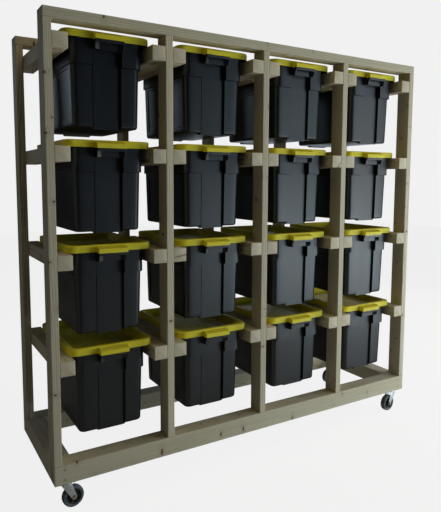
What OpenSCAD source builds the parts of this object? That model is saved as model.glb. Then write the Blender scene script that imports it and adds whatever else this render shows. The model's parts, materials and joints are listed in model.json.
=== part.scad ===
// Rolling timber rack with sixteen lidded storage totes.
// Two identical frames, front and back, each of five posts between a square sill and a flat
// top rail. End rails join the sills, and pairs of runners join the posts in every bay. Each
// tote hangs by its rim on one pair of runners. Four swivel casters carry the sills.
// Frame: origin on the floor under the middle of the rack, +X along the rack, +Z up, and the
// grip ends of the totes face -Y. Millimetres.

/* [Rack] */
// Number of columns of totes
columns = 4; // [1:1:4]
// Number of rows of totes
rows = 4; // [1:1:4]
// Distance between the centres of neighbouring posts
post_pitch = 576; // [560:1:640]
// Distance between neighbouring rows of runners
row_pitch = 490; // [475:1:560]
// Front face of the front posts to back face of the back posts
rack_depth = 684; // [680:1:760]
// Underside of the sills to the top of the lowest runners
first_row = 584; // [560:1:640]
// Underside of the sills to the top of the top rails
frame_height = 2152; // [2150:1:2400]

/* [Timber] */
// Thickness of a post, seen from the front
post_t = 38; // [34:1:45]
// Depth of a post and of a top rail, front to back
post_w = 95; // [89:1:100]
// Thickness of a top rail
top_rail_t = 45; // [38:1:47]
// Side of the square sills and end rails
sill = 95; // [89:1:100]
// Side of the square runners
runner = 70; // [66:1:72]

/* [Tote] */
// Width of a lid over its skirt
lid_w = 420; // [412:1:424]
// Length of a lid over its skirt
lid_l = 588; // [576:1:600]
// Height of a lid's skirt
lid_h = 34; // [32:1:38]
// Depth of a tote below its rim
tote_depth = 404; // [360:1:408]
// How far the lid stands out past the body on each long side
lid_overhang = 37; // [34:1:40]
// How far the lid stands out past the body at each end
end_overhang = 14; // [12:1:20]
// Height of the proud upper band of the body
band_h = 113; // [80:1:140]

/* [Casters] */
// Underside of the sills to the floor
caster_height = 145; // [140:1:150]
// Diameter over the tyre
wheel_d = 105; // [100:1:105]
// Width of the tyre
wheel_w = 32; // [28:1:32]
// Swivel axis to wheel axle, measured level
trail = 34; // [25:1:36]
// Swivel axis to the end of the rack
caster_inset = 62; // [60:1:80]

/* [Hidden] */
$fn = 48;
rack_length = columns * post_pitch + post_t;
bay = post_pitch - post_t;
wall = 3;
gap = 0.3;
eps = 0.01;

// Heights above the floor
sill_top = caster_height + sill;
rail_top = caster_height + frame_height;
rail_under = rail_top - top_rail_t;

// Tote sizes
body_w = lid_w - 2 * lid_overhang;
body_l = lid_l - 2 * end_overhang;
step = 7;
end_step = 14;
draft = 6;
lid_r = 42;
body_r = 34;
rim_top = lid_h - 6 - gap;
land_top = 8;
foot = 8;
// Hollow down the middle of each end
hollow_x = 70.5;
hollow_y = 27;
// Handle over the hollow: a flange, and a pocket between slanted cheeks below it
handle_x = 69;
flange_out = 43;
flange_z = [-17, 5.5];
cheek_out = 36;
pocket_x = 44;
pocket_out = 16;
handle_bottom = -45;

// Lid sizes
rim_w = 22;
well_w = 54;
well_floor = 2;
crease_x = [95, 100];
crease_end = 60;
tab_x = 72;
tab_out = 34;
tab_wall = 2.6;
tab_z = [-4, 16, 27];

// Caster sizes
plate = [90, 76, 4];
plate_bolts = [68, 54];
bolt_r = 4;
pin_r = 6;
pin_fit = 0.05;
axle_r = 5;
fork_t = 3;
hub_r = 38;
boss_w = wheel_w + 4;
axle_z = wheel_d / 2;
fork_top = caster_height - 11;
fork_bottom = fork_top - 5;
// Each caster: [name, side along X, side along Y, direction of its trail in degrees]
CASTERS = [["fl", -1, -1, 7], ["fr", 1, -1, 185], ["bl", -1, 1, 5], ["br", 1, 1, 183]];

// Screw sizes
screw_r = 3;
screw_head_r = 6;
screw_clear = 0.1;

COLS = [1:columns];
ROWS = [1:rows];
function bay_x(c) = -rack_length / 2 + post_t + bay / 2 + (c - 1) * post_pitch;
function post_x(i) = -rack_length / 2 + post_t / 2 + i * post_pitch;
// Row 1 is the top row.
function rest_z(r) = caster_height + first_row + (rows - r) * row_pitch;
function tote_name(c, r) = str("tote_c", c, "_r", r);
function lid_name(c, r) = str("lid_c", c, "_r", r);
function caster_xy(k) = [k[1] * (rack_length / 2 - caster_inset), k[2] * (rack_depth / 2 - sill / 2)];

// ---- Shared shapes ----

// Flat slab with round corners, its middle at the origin and its underside at z = 0.
module slab(w, l, h, r) {
    linear_extrude(h) {
        square([w - 2 * r, l], center = true);
        square([w, l - 2 * r], center = true);
        for (sx = [-1, 1], sy = [-1, 1])
            translate([sx * (w / 2 - r), sy * (l / 2 - r)]) circle(r);
    }
}

// Box between two opposite corners.
module span(a, b) {
    translate(a) cube([b[0] - a[0], b[1] - a[1], b[2] - a[2]]);
}

// Tapered block with round corners, from z = -depth up to z = 0.
module drafted(w, l, depth, r, taper) {
    hull() {
        translate([0, 0, -eps]) slab(w, l, eps, r, $fn = 24);
        translate([0, 0, -depth]) slab(w - 2 * taper, l - 2 * taper, eps, r, $fn = 24);
    }
}

// ---- Timber frame ----

// Screw with its head at the origin, driven along -Z.
module screw(length) {
    translate([0, 0, -4]) cylinder(r1 = screw_r, r2 = screw_head_r, h = 4);
    translate([0, 0, -length]) cylinder(r = screw_r, h = length - 3.9);
}

// The hole that a screw sits in.
module screw_hole(length) {
    translate([0, 0, -4 - screw_clear])
        cylinder(r1 = screw_r + screw_clear, r2 = screw_head_r + 2 * screw_clear, h = 4 + 2 * screw_clear);
    translate([0, 0, -length - 1]) cylinder(r = screw_r + screw_clear, h = length);
}

// Places its children at every runner screw of row r, heads on the faces that the totes hang between.
module at_runner_screws(r) {
    z = rest_z(r) - runner / 2;
    for (c = COLS, side = [-1, 1], end = [-1, 1])
        translate([bay_x(c) + side * (bay / 2 - runner), end * (rack_depth - post_w) / 2, z + side * 14])
            rotate([0, -side * 90, 0]) children();
}

// Places its children at every screw down through a top rail into a post.
module at_top_screws() {
    for (i = [0:columns], end = [-1, 1], dy = [-22, 22])
        translate([post_x(i), end * (rack_depth - post_w) / 2 + dy, rail_top]) children();
}

// Places its children at every counterbored screw up through a sill into a post.
module at_sill_screws() {
    for (i = [0:columns], end = [-1, 1], dy = [-12, 12])
        translate([post_x(i), end * (rack_depth - post_w) / 2 + dy, caster_height + 30])
            rotate([180, 0, 0]) children();
}

// Places its children at every screw through a sill into the end grain of an end rail.
module at_end_screws() {
    for (sx = [-1, 1], end = [-1, 1], dz = [-24, 24])
        translate([sx * (rack_length / 2 - sill / 2), end * rack_depth / 2, caster_height + sill / 2 + dz])
            rotate([-end * 90, 0, 0]) children();
}

// Places its children at the four bolts of every caster plate.
module at_caster_bolts() {
    for (k = CASTERS, bx = [-1, 1], by = [-1, 1])
        translate([caster_xy(k)[0] + bx * plate_bolts[0] / 2, caster_xy(k)[1] + by * plate_bolts[1] / 2,
                   caster_height])
            children();
}

module top_rails() color("burlywood") difference() {
    for (end = [-1, 1])
        translate([0, end * (rack_depth - post_w) / 2, rail_under + top_rail_t / 2])
            cube([rack_length, post_w, top_rail_t], center = true);
    at_top_screws() screw_hole(100);
}

module sills() color("burlywood") difference() {
    for (end = [-1, 1])
        translate([0, end * (rack_depth - sill) / 2, caster_height + sill / 2])
            cube([rack_length, sill, sill], center = true);
    at_sill_screws() {
        screw_hole(110);
        cylinder(r = 9, h = 31);
    }
    at_end_screws() screw_hole(150);
    at_caster_bolts() cylinder(r = bolt_r + screw_clear, h = 46);
}

module end_rails() color("tan") difference() {
    for (sx = [-1, 1])
        translate([sx * (rack_length - sill) / 2, 0, caster_height + sill / 2])
            cube([sill, rack_depth - 2 * sill, sill], center = true);
    at_end_screws() screw_hole(150);
}

// Five posts of one frame: end is -1 at the front and 1 at the back.
module posts(end) difference() {
    for (i = [0:columns])
        translate([post_x(i), end * (rack_depth - post_w) / 2, (sill_top + rail_under) / 2])
            cube([post_t, post_w, rail_under - sill_top], center = true);
    at_top_screws() screw_hole(100);
    at_sill_screws() screw_hole(110);
    for (r = ROWS) at_runner_screws(r) screw_hole(96);
}

module front_posts() color("tan") posts(-1);
module back_posts() color("tan") posts(1);

module runners(r) color("wheat") difference() {
    for (c = COLS, side = [-1, 1])
        translate([bay_x(c) + side * (bay - runner) / 2, 0, rest_z(r) - runner / 2])
            cube([runner, rack_depth, runner], center = true);
    at_runner_screws(r) screw_hole(96);
}

module wood_screws() color("goldenrod") {
    at_top_screws() screw(100);
    at_sill_screws() screw(110);
    at_end_screws() screw(150);
    for (r = ROWS) at_runner_screws(r) screw(96);
}

// ---- Totes ----
// Drawn with the rim's underside at z = 0 and the middle of the tote at the origin.

// Latch tab on the end of a lid, drawn along X from its section: upright, then a sloping roof
// that meets the skirt. inset makes the hollow in it.
module lid_tab(inset) {
    y = -lid_l / 2;
    half = tab_x - inset;
    bottom = inset > 0 ? tab_z[0] - 1 : tab_z[0];
    translate([-half, 0, 0]) rotate([90, 0, 90]) linear_extrude(2 * half)
        polygon([[y - tab_out + inset, bottom], [y - tab_out + inset, tab_z[1] - inset],
                 [y + wall, tab_z[2] - inset], [y + wall, bottom]]);
}

// Well sunk in the top of a lid: walls that slope in from the rim to a level floor.
// out = 0 gives the well itself, and out = wall the shell round it.
module lid_well(out) {
    top = lid_h + (out > 0 ? -eps : eps);
    hull() {
        translate([0, 0, top - eps])
            slab(lid_w - 2 * rim_w + 2 * out, lid_l - 2 * rim_w + 2 * out, eps, lid_r - rim_w + 4 + out, $fn = 24);
        translate([0, 0, well_floor - out])
            slab(lid_w - 2 * well_w + 2 * out, lid_l - 2 * well_w + 2 * out, eps, lid_r - rim_w + out, $fn = 24);
    }
}

module lid() {
    difference() {
        union() {
            difference() {
                slab(lid_w, lid_l, lid_h, lid_r);
                translate([0, 0, -1]) slab(lid_w - 2 * wall, lid_l - 2 * wall, lid_h - wall + 1, lid_r - wall);
            }
            lid_well(wall);
            for (turn = [0, 180]) rotate(turn) lid_tab(0);
        }
        lid_well(0);
        for (turn = [0, 180]) rotate(turn) lid_tab(tab_wall);
        // Crease along the floor of the well
        span([crease_x[0], crease_end - lid_l / 2, well_floor - 1.5], [crease_x[1], lid_l / 2 - crease_end, well_floor + 1]);
    }
}

// Rim of the tote: a level land with an upright edge round it that bears on the runners.
module tote_rim() {
    w = lid_w - 2 * wall - 2;
    l = lid_l - 2 * wall - 2;
    difference() {
        translate([0, 0, gap]) slab(w, l, rim_top - gap, lid_r - wall);
        translate([0, 0, land_top]) slab(w - 2 * wall, l - 2 * wall, rim_top, lid_r - 2 * wall);
        translate([0, 0, -1]) slab(w - 2 * wall, l - 2 * wall, land_top - wall + 1, lid_r - 2 * wall);
    }
}

// Handle under the latch tab: flange, cheeks and the pocket between them.
module handle() {
    y = -body_l / 2;
    span([-handle_x, y - flange_out, flange_z[0]], [handle_x, y + wall, flange_z[1]]);
    translate([0, 0, handle_bottom]) linear_extrude(flange_z[0] + eps - handle_bottom)
        polygon([[-handle_x, y + wall], [-handle_x, y - cheek_out], [wall - handle_x, y - cheek_out],
                 [-pocket_x, y - pocket_out], [pocket_x, y - pocket_out], [handle_x - wall, y - cheek_out],
                 [handle_x, y - cheek_out], [handle_x, y + wall]]);
}

// Hollow down the middle of an end, below the handle. out = wall gives the shell round it.
module end_hollow(out) {
    y = -body_l / 2;
    span([-hollow_x - out, y - 1, -tote_depth - 1], [hollow_x + out, y + hollow_y + out, handle_bottom + out]);
}

// Foot under the wall behind the hollow.
module end_foot() {
    y = -body_l / 2 + hollow_y;
    span([-hollow_x, y, -tote_depth], [hollow_x, y + 2 * wall, foot + wall - tote_depth]);
}

module tote() {
    lower_w = body_w - 2 * step;
    lower_l = body_l - 2 * end_step;
    floor_z = foot - tote_depth;
    difference() {
        union() {
            drafted(lower_w, lower_l, -floor_z, body_r - step, draft);
            translate([0, 0, -band_h]) slab(body_w, body_l, band_h + land_top, body_r);
            tote_rim();
            for (turn = [0, 180]) rotate(turn) {
                end_foot();
                handle();
            }
        }
        // Inside of the lower box and of the wider band, clear of the hollows in both ends
        difference() {
            union() {
                translate([0, 0, rim_top + 1])
                    drafted(lower_w - 2 * wall, lower_l - 2 * wall, rim_top + 1 - floor_z - wall,
                            body_r - step - wall, draft);
                translate([0, 0, wall - band_h])
                    slab(body_w - 2 * wall, body_l - 2 * wall, band_h + rim_top, body_r - wall);
            }
            for (turn = [0, 180]) rotate(turn) end_hollow(wall);
        }
        for (turn = [0, 180]) rotate(turn) end_hollow(0);
    }
}

// ---- Casters ----
// Drawn with the swivel axis on Z, the floor at z = 0 and the wheel trailing along +X.

module caster_plate() difference() {
    union() {
        translate([0, 0, caster_height - plate[2] / 2]) cube(plate, center = true);
        translate([0, 0, fork_top + 0.4]) cylinder(r = 27, h = caster_height - fork_top - plate[2] - 0.4 + eps);
        // King pin and its rivet head, which carries the fork
        translate([0, 0, fork_bottom - 5]) cylinder(r = pin_r, h = caster_height - fork_bottom + 5 - plate[2]);
        translate([0, 0, fork_bottom - 5]) cylinder(r = 11, h = 4.6);
    }
    for (bx = [-1, 1], by = [-1, 1])
        translate([bx * plate_bolts[0] / 2, by * plate_bolts[1] / 2, 0])
            cylinder(r = bolt_r + 0.3, h = caster_height + 1);
}

// Side view of a fork leg: a tapered strap that ends in a round eye at the axle.
module fork_profile() {
    polygon([[-20, fork_bottom], [26, fork_bottom], [trail + 10, axle_z + 6], [trail - 11, axle_z - 2]]);
    translate([trail, axle_z]) circle(12);
}

module fork() difference() {
    union() {
        translate([0, 0, fork_bottom]) cylinder(r = 27, h = fork_top - fork_bottom);
        translate([0, 0, fork_bottom + 1.5]) cube([44, boss_w + 1 + 2 * fork_t, 3], center = true);
        for (s = [-1, 1])
            translate([0, s * (boss_w / 2 + 0.5 + fork_t / 2) + fork_t / 2, 0])
                rotate([90, 0, 0]) linear_extrude(fork_t) fork_profile();
    }
    translate([0, 0, fork_bottom - 1]) cylinder(r = pin_r + pin_fit, h = 20);
    translate([trail, 0, axle_z]) rotate([90, 0, 0]) cylinder(r = axle_r + 0.1, h = 80, center = true);
}

module axle() {
    reach = boss_w / 2 + 0.5 + fork_t;
    translate([trail, 0, axle_z]) rotate([90, 0, 0]) {
        cylinder(r = axle_r, h = 2 * reach + 8, center = true);
        translate([0, 0, reach]) cylinder(r = 9, h = 6, $fn = 6);
        translate([0, 0, -reach - 7]) cylinder(r = 9, h = 7, $fn = 6);
    }
}

// Hub: rim, thin web and a boss that runs on the axle.
module hub() {
    half = wheel_w / 2;
    translate([trail, 0, axle_z]) rotate([90, 0, 0]) rotate_extrude()
        polygon([[axle_r + pin_fit, -boss_w / 2], [12, -boss_w / 2], [14, -5], [hub_r - 7, -5],
                 [hub_r - 4, 1 - half], [hub_r, 1 - half], [hub_r, half - 1], [hub_r - 4, half - 1],
                 [hub_r - 7, 5], [14, 5], [12, boss_w / 2], [axle_r + pin_fit, boss_w / 2]]);
}

module tyre() {
    half = wheel_w / 2;
    shoulder = 7;
    translate([trail, 0, axle_z]) rotate([90, 0, 0]) rotate_extrude() {
        translate([hub_r, -half]) square([wheel_d / 2 - hub_r - shoulder, wheel_w]);
        translate([hub_r, shoulder - half]) square([wheel_d / 2 - hub_r, wheel_w - 2 * shoulder]);
        for (s = [-1, 1]) translate([wheel_d / 2 - shoulder, s * (half - shoulder)]) circle(shoulder);
    }
}

// Moves a caster piece to its place under the rack.
module at_caster(k) {
    translate([caster_xy(k)[0], caster_xy(k)[1], 0]) rotate(k[3]) children();
}

module caster_plates() color("silver")
    for (k = CASTERS) translate([caster_xy(k)[0], caster_xy(k)[1], 0]) caster_plate();

module caster_bolts() color("gray")
    at_caster_bolts() {
        translate([0, 0, -plate[2] - 5]) cylinder(r = 6.5, h = 5, $fn = 6);
        translate([0, 0, -plate[2] - 1]) cylinder(r = bolt_r, h = 44);
    }

top_rails();
sills();
end_rails();
front_posts();
back_posts();
for (r = ROWS)
    runners(r);
wood_screws();
caster_plates();
caster_bolts();
for (k = CASTERS) at_caster(k) {
    color("silver") fork();
    color("gray") axle();
    color("dimgray") hub();
    color("slategray") tyre();
}
for (c = COLS, r = ROWS) translate([bay_x(c), 0, rest_z(r)]) {
    color("#26282c") tote();
    color("#d8c92c") translate([0, 0, gap]) lid();
}
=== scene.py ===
"""Looks of the rolling tote rack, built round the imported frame.

Planed softwood boards, black moulded totes with yellow lids, and zinc swivel casters. Every
new piece is a surface worked out as whole numpy arrays, in metres, in the frame of the rack:
origin on the floor under its middle, +X along the rack, +Z up, and the front on -Y.
"""

import json
import logging
import math
from dataclasses import dataclass, field
from enum import Enum

import bpy
import numpy as np
from mathutils import Matrix, Vector


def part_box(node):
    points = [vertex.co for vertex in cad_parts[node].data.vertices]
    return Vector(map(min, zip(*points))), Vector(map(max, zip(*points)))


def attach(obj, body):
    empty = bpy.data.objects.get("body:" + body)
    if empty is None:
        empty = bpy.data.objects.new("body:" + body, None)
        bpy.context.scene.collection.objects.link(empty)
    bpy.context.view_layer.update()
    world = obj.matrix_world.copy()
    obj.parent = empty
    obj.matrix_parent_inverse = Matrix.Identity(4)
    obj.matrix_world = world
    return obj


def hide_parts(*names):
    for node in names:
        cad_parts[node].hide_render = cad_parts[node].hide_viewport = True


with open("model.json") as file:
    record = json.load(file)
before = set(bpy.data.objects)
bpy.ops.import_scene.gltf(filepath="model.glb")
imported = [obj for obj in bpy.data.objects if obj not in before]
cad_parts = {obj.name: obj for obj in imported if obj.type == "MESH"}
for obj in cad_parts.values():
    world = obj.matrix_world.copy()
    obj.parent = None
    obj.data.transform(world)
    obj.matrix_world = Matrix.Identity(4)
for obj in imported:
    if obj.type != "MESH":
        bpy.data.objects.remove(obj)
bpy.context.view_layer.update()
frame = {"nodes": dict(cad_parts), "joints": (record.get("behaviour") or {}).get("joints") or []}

LOG = logging.getLogger("tote_rack")
MM = 0.001
Socket = bpy.types.NodeSocket
Material = bpy.types.Material


# ---- Surfaces ----


@dataclass
class Skin:
    """Points and faces of one or more closed surfaces, with the values that its finish reads.

    grain is each point's place in its own board, measured from the heart of the tree, and tone
    is how dark that board is. Both are None on a piece that isn't timber.
    """

    points: np.ndarray
    faces: list[tuple[int, ...]]
    grain: np.ndarray | None = None
    tone: np.ndarray | None = None

    def moved(self, matrix: np.ndarray) -> "Skin":
        """The same surface with its points carried by a 4 by 4 matrix."""
        points = self.points @ matrix[:3, :3].T + matrix[:3, 3]
        return Skin(points, self.faces, self.grain, self.tone)

    def shifted(self, x: float, y: float, z: float) -> "Skin":
        """The same surface with every point moved by x, y and z."""
        return Skin(self.points + np.array([x, y, z]), self.faces, self.grain, self.tone)


def joined(skins: list[Skin]) -> Skin:
    """One skin that holds several.

    Args:
        skins: the skins to put together; all of them are timber, or none is.

    Returns:
        A skin whose faces are numbered anew.
    """
    faces: list[tuple[int, ...]] = []
    start = 0
    for skin in skins:
        faces += [tuple(corner + start for corner in face) for face in skin.faces]
        start += len(skin.points)
    timber = skins[0].grain is not None
    return Skin(
        np.concatenate([skin.points for skin in skins]),
        faces,
        np.concatenate([skin.grain for skin in skins]) if timber else None,
        np.concatenate([skin.tone for skin in skins]) if timber else None,
    )


def lattice(rows: int, columns: int, closed: bool) -> np.ndarray:
    """Corner numbers of the quads between neighbouring rows of a grid of points.

    Args:
        rows: number of rows.
        columns: number of points in a row.
        closed: whether the last point of a row joins the first.

    Returns:
        An array of four corner numbers for each quad. Where rows are rings that run
        anticlockwise seen from the end of the path, the quads face outwards.
    """
    here = np.arange(rows * columns).reshape(rows, columns)
    beside = np.roll(here, -1, axis=1)
    quads = np.stack([here[:-1], beside[:-1], beside[1:], here[1:]], axis=-1)
    if not closed:
        quads = quads[:, :-1]
    return quads.reshape(-1, 4)


def tube(rings: np.ndarray) -> Skin:
    """Closed surface through rings of points, capped at both ends.

    Args:
        rings: array of shape (rings, points in a ring, 3), anticlockwise seen from the last.

    Returns:
        The skin: quads between rings, and one flat face on the first and on the last ring.
    """
    count, around = rings.shape[:2]
    faces = [tuple(quad) for quad in lattice(count, around, True).tolist()]
    first = list(range(around))
    faces.append(tuple(reversed(first)))
    faces.append(tuple(corner + (count - 1) * around for corner in first))
    return Skin(rings.reshape(-1, 3), faces)


def loop_round(rings: np.ndarray) -> Skin:
    """Closed surface through rings where the last ring joins the first, as on a tyre.

    Args:
        rings: array of shape (rings, points in a ring, 3).

    Returns:
        The skin, all quads.
    """
    closed = np.concatenate([rings, rings[:1]])
    count, around = rings.shape[:2]
    quads = lattice(count + 1, around, True) % (count * around)
    return Skin(closed[:-1].reshape(-1, 3), [tuple(quad) for quad in quads.tolist()])


def rounded_ring(half_x: np.ndarray, half_y: np.ndarray, radius: np.ndarray, arc: int) -> np.ndarray:
    """Rounded rectangles, anticlockwise, one for each entry of the arrays.

    A corner is a quarter circle: centre plus radius times (cos, sin) of an angle that runs
    over 90 degrees in arc steps. A point just past each arc keeps shading flat on the sides.

    Args:
        half_x: half widths.
        half_y: half heights.
        radius: corner radii.
        arc: number of steps in a quarter circle.

    Returns:
        Array of shape (rectangles, points, 2).
    """
    turn = np.concatenate([[0.0], np.linspace(0, 1, arc + 1), [1.0]]) * math.pi / 2
    lead = np.concatenate([[-1.0], np.zeros(arc + 1), [1.0]])
    sides = []
    for corner in range(4):
        sign_x = 1 if corner in (0, 3) else -1
        sign_y = 1 if corner in (0, 1) else -1
        angle = turn + corner * math.pi / 2
        centre_x = sign_x * (half_x - radius)[:, None]
        centre_y = sign_y * (half_y - radius)[:, None]
        past = np.minimum(radius, 2 * MM)[:, None]
        x = centre_x + radius[:, None] * np.cos(angle) + past * lead * np.cos(angle + math.pi / 2)
        y = centre_y + radius[:, None] * np.sin(angle) + past * lead * np.sin(angle + math.pi / 2)
        sides.append(np.stack([x, y], axis=-1))
    return np.concatenate(sides, axis=1)


def step_at(value: np.ndarray, edge: float, half: float) -> np.ndarray:
    """0 before an edge and 1 after it, with a straight ramp of twice half across it."""
    return np.clip((value - edge) / (2 * half) + 0.5, 0.0, 1.0)


def between(value: np.ndarray, low: float, high: float, half: float) -> np.ndarray:
    """1 between two edges and 0 outside them, with a ramp across each edge."""
    return step_at(value, low, half) - step_at(value, high, half)


def lines_for(edges: list[float], half: float, extra: list[float]) -> np.ndarray:
    """Grid lines that hold every edge crisp: one each side of it, and some plain lines.

    Args:
        edges: places of the edges.
        half: distance from an edge to the line at each side of it.
        extra: plain lines.

    Returns:
        The sorted places, none closer than a tenth of half.
    """
    places = np.sort(np.array([e + s * half for e in edges for s in (-1, 1)] + extra))
    return places[np.concatenate([[True], np.diff(places) > half / 10])]


def built(name: str, skin: Skin, finish: Material, crisp: float = 28.0) -> bpy.types.Object:
    """Makes the Blender object of a skin.

    Args:
        name: the piece's name.
        skin: its surface.
        finish: its material.
        crisp: angle in degrees past which an edge stays sharp.

    Returns:
        The object, linked to the scene, at the origin.
    """
    mesh = bpy.data.meshes.new(name)
    mesh.from_pydata(skin.points.tolist(), [], skin.faces)
    mesh.shade_smooth()
    mesh.set_sharp_from_angle(angle=math.radians(crisp))
    if skin.grain is not None:
        mesh.attributes.new("grain", "FLOAT_VECTOR", "POINT").data.foreach_set(
            "vector", skin.grain.astype(np.float32).ravel()
        )
        mesh.attributes.new("tone", "FLOAT", "POINT").data.foreach_set(
            "value", skin.tone.astype(np.float32)
        )
    mesh.materials.append(finish)
    piece = bpy.data.objects.new(name, mesh)
    bpy.context.scene.collection.objects.link(piece)
    return piece


def placed(piece: bpy.types.Object, body: str, nodes: list[str]) -> None:
    """Rides a piece on its body and stands it in for its nodes."""
    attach(piece, body)
    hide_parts(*nodes)
    LOG.info("%s: %d faces on %s", piece.name, len(piece.data.polygons), body)


# ---- Shader wiring ----


class Wiring:
    """Places and joins the nodes of one tree, which is a material's or a group's."""

    def __init__(self, tree: bpy.types.NodeTree) -> None:
        """Keeps the tree that the nodes go in."""
        self.tree = tree

    def node(self, kind: str, **settings: object) -> bpy.types.Node:
        """A new node of a kind, with its settings."""
        made = self.tree.nodes.new(kind)
        for name, value in settings.items():
            setattr(made, name, value)
        return made

    def feed(self, socket: Socket, value: object) -> None:
        """Joins a socket to another one, or sets it to a plain value."""
        if isinstance(value, Socket):
            self.tree.links.new(value, socket)
        else:
            socket.default_value = value

    def math(self, operation: str, *values: object, clamp: bool = False) -> Socket:
        """Result of a Math node on up to three values."""
        made = self.node("ShaderNodeMath", operation=operation, use_clamp=clamp)
        for socket, value in zip(made.inputs, values):
            self.feed(socket, value)
        return made.outputs[0]

    def vector(self, operation: str, *values: object) -> Socket:
        """Vector result of a Vector Math node."""
        made = self.node("ShaderNodeVectorMath", operation=operation)
        for socket, value in zip(made.inputs, values):
            self.feed(socket, value)
        return made.outputs[0]

    def ramp(
        self, value: object, low: float, high: float, start: float = 0.0, end: float = 1.0
    ) -> Socket:
        """A smooth rise from start at low to end at high."""
        made = self.node("ShaderNodeMapRange", interpolation_type="SMOOTHSTEP")
        for socket, item in zip(made.inputs, (value, low, high, start, end)):
            self.feed(socket, item)
        return made.outputs[0]

    def noise(self, place: object, scale: float, detail: float, rough: float = 0.5) -> Socket:
        """Value of a noise texture at a place."""
        made = self.node("ShaderNodeTexNoise")
        self.feed(made.inputs["Vector"], place)
        self.feed(made.inputs["Scale"], scale)
        self.feed(made.inputs["Detail"], detail)
        self.feed(made.inputs["Roughness"], rough)
        return made.outputs[0]

    def mixed(self, share: object, first: object, second: object, blend: str = "MIX") -> Socket:
        """Colour between two colours."""
        made = self.node("ShaderNodeMix", data_type="RGBA", blend_type=blend)
        self.feed(made.inputs[0], share)
        self.feed(made.inputs[6], first)
        self.feed(made.inputs[7], second)
        return made.outputs[2]

    def grey(self, value: object) -> Socket:
        """A grey whose three channels are one value."""
        made = self.node("ShaderNodeCombineColor")
        for socket in made.inputs[:3]:
            self.feed(socket, value)
        return made.outputs[0]


def new_group(
    name: str, inputs: dict[str, tuple[str, object]], outputs: dict[str, str]
) -> tuple[Wiring, bpy.types.Node, bpy.types.Node]:
    """An empty shader node group with named sockets.

    Args:
        name: the group's name.
        inputs: kind of socket and plain value by name.
        outputs: kind of socket by name.

    Returns:
        The wiring of its tree, and its input and output nodes.
    """
    tree = bpy.data.node_groups.new(name, "ShaderNodeTree")
    for socket, (kind, value) in inputs.items():
        made = tree.interface.new_socket(name=socket, in_out="INPUT", socket_type=kind)
        made.default_value = value
    for socket, kind in outputs.items():
        tree.interface.new_socket(name=socket, in_out="OUTPUT", socket_type=kind)
    wiring = Wiring(tree)
    return wiring, wiring.node("NodeGroupInput"), wiring.node("NodeGroupOutput")


FLOAT, COLOUR, VECTOR = "NodeSocketFloat", "NodeSocketColor", "NodeSocketVector"


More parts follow.
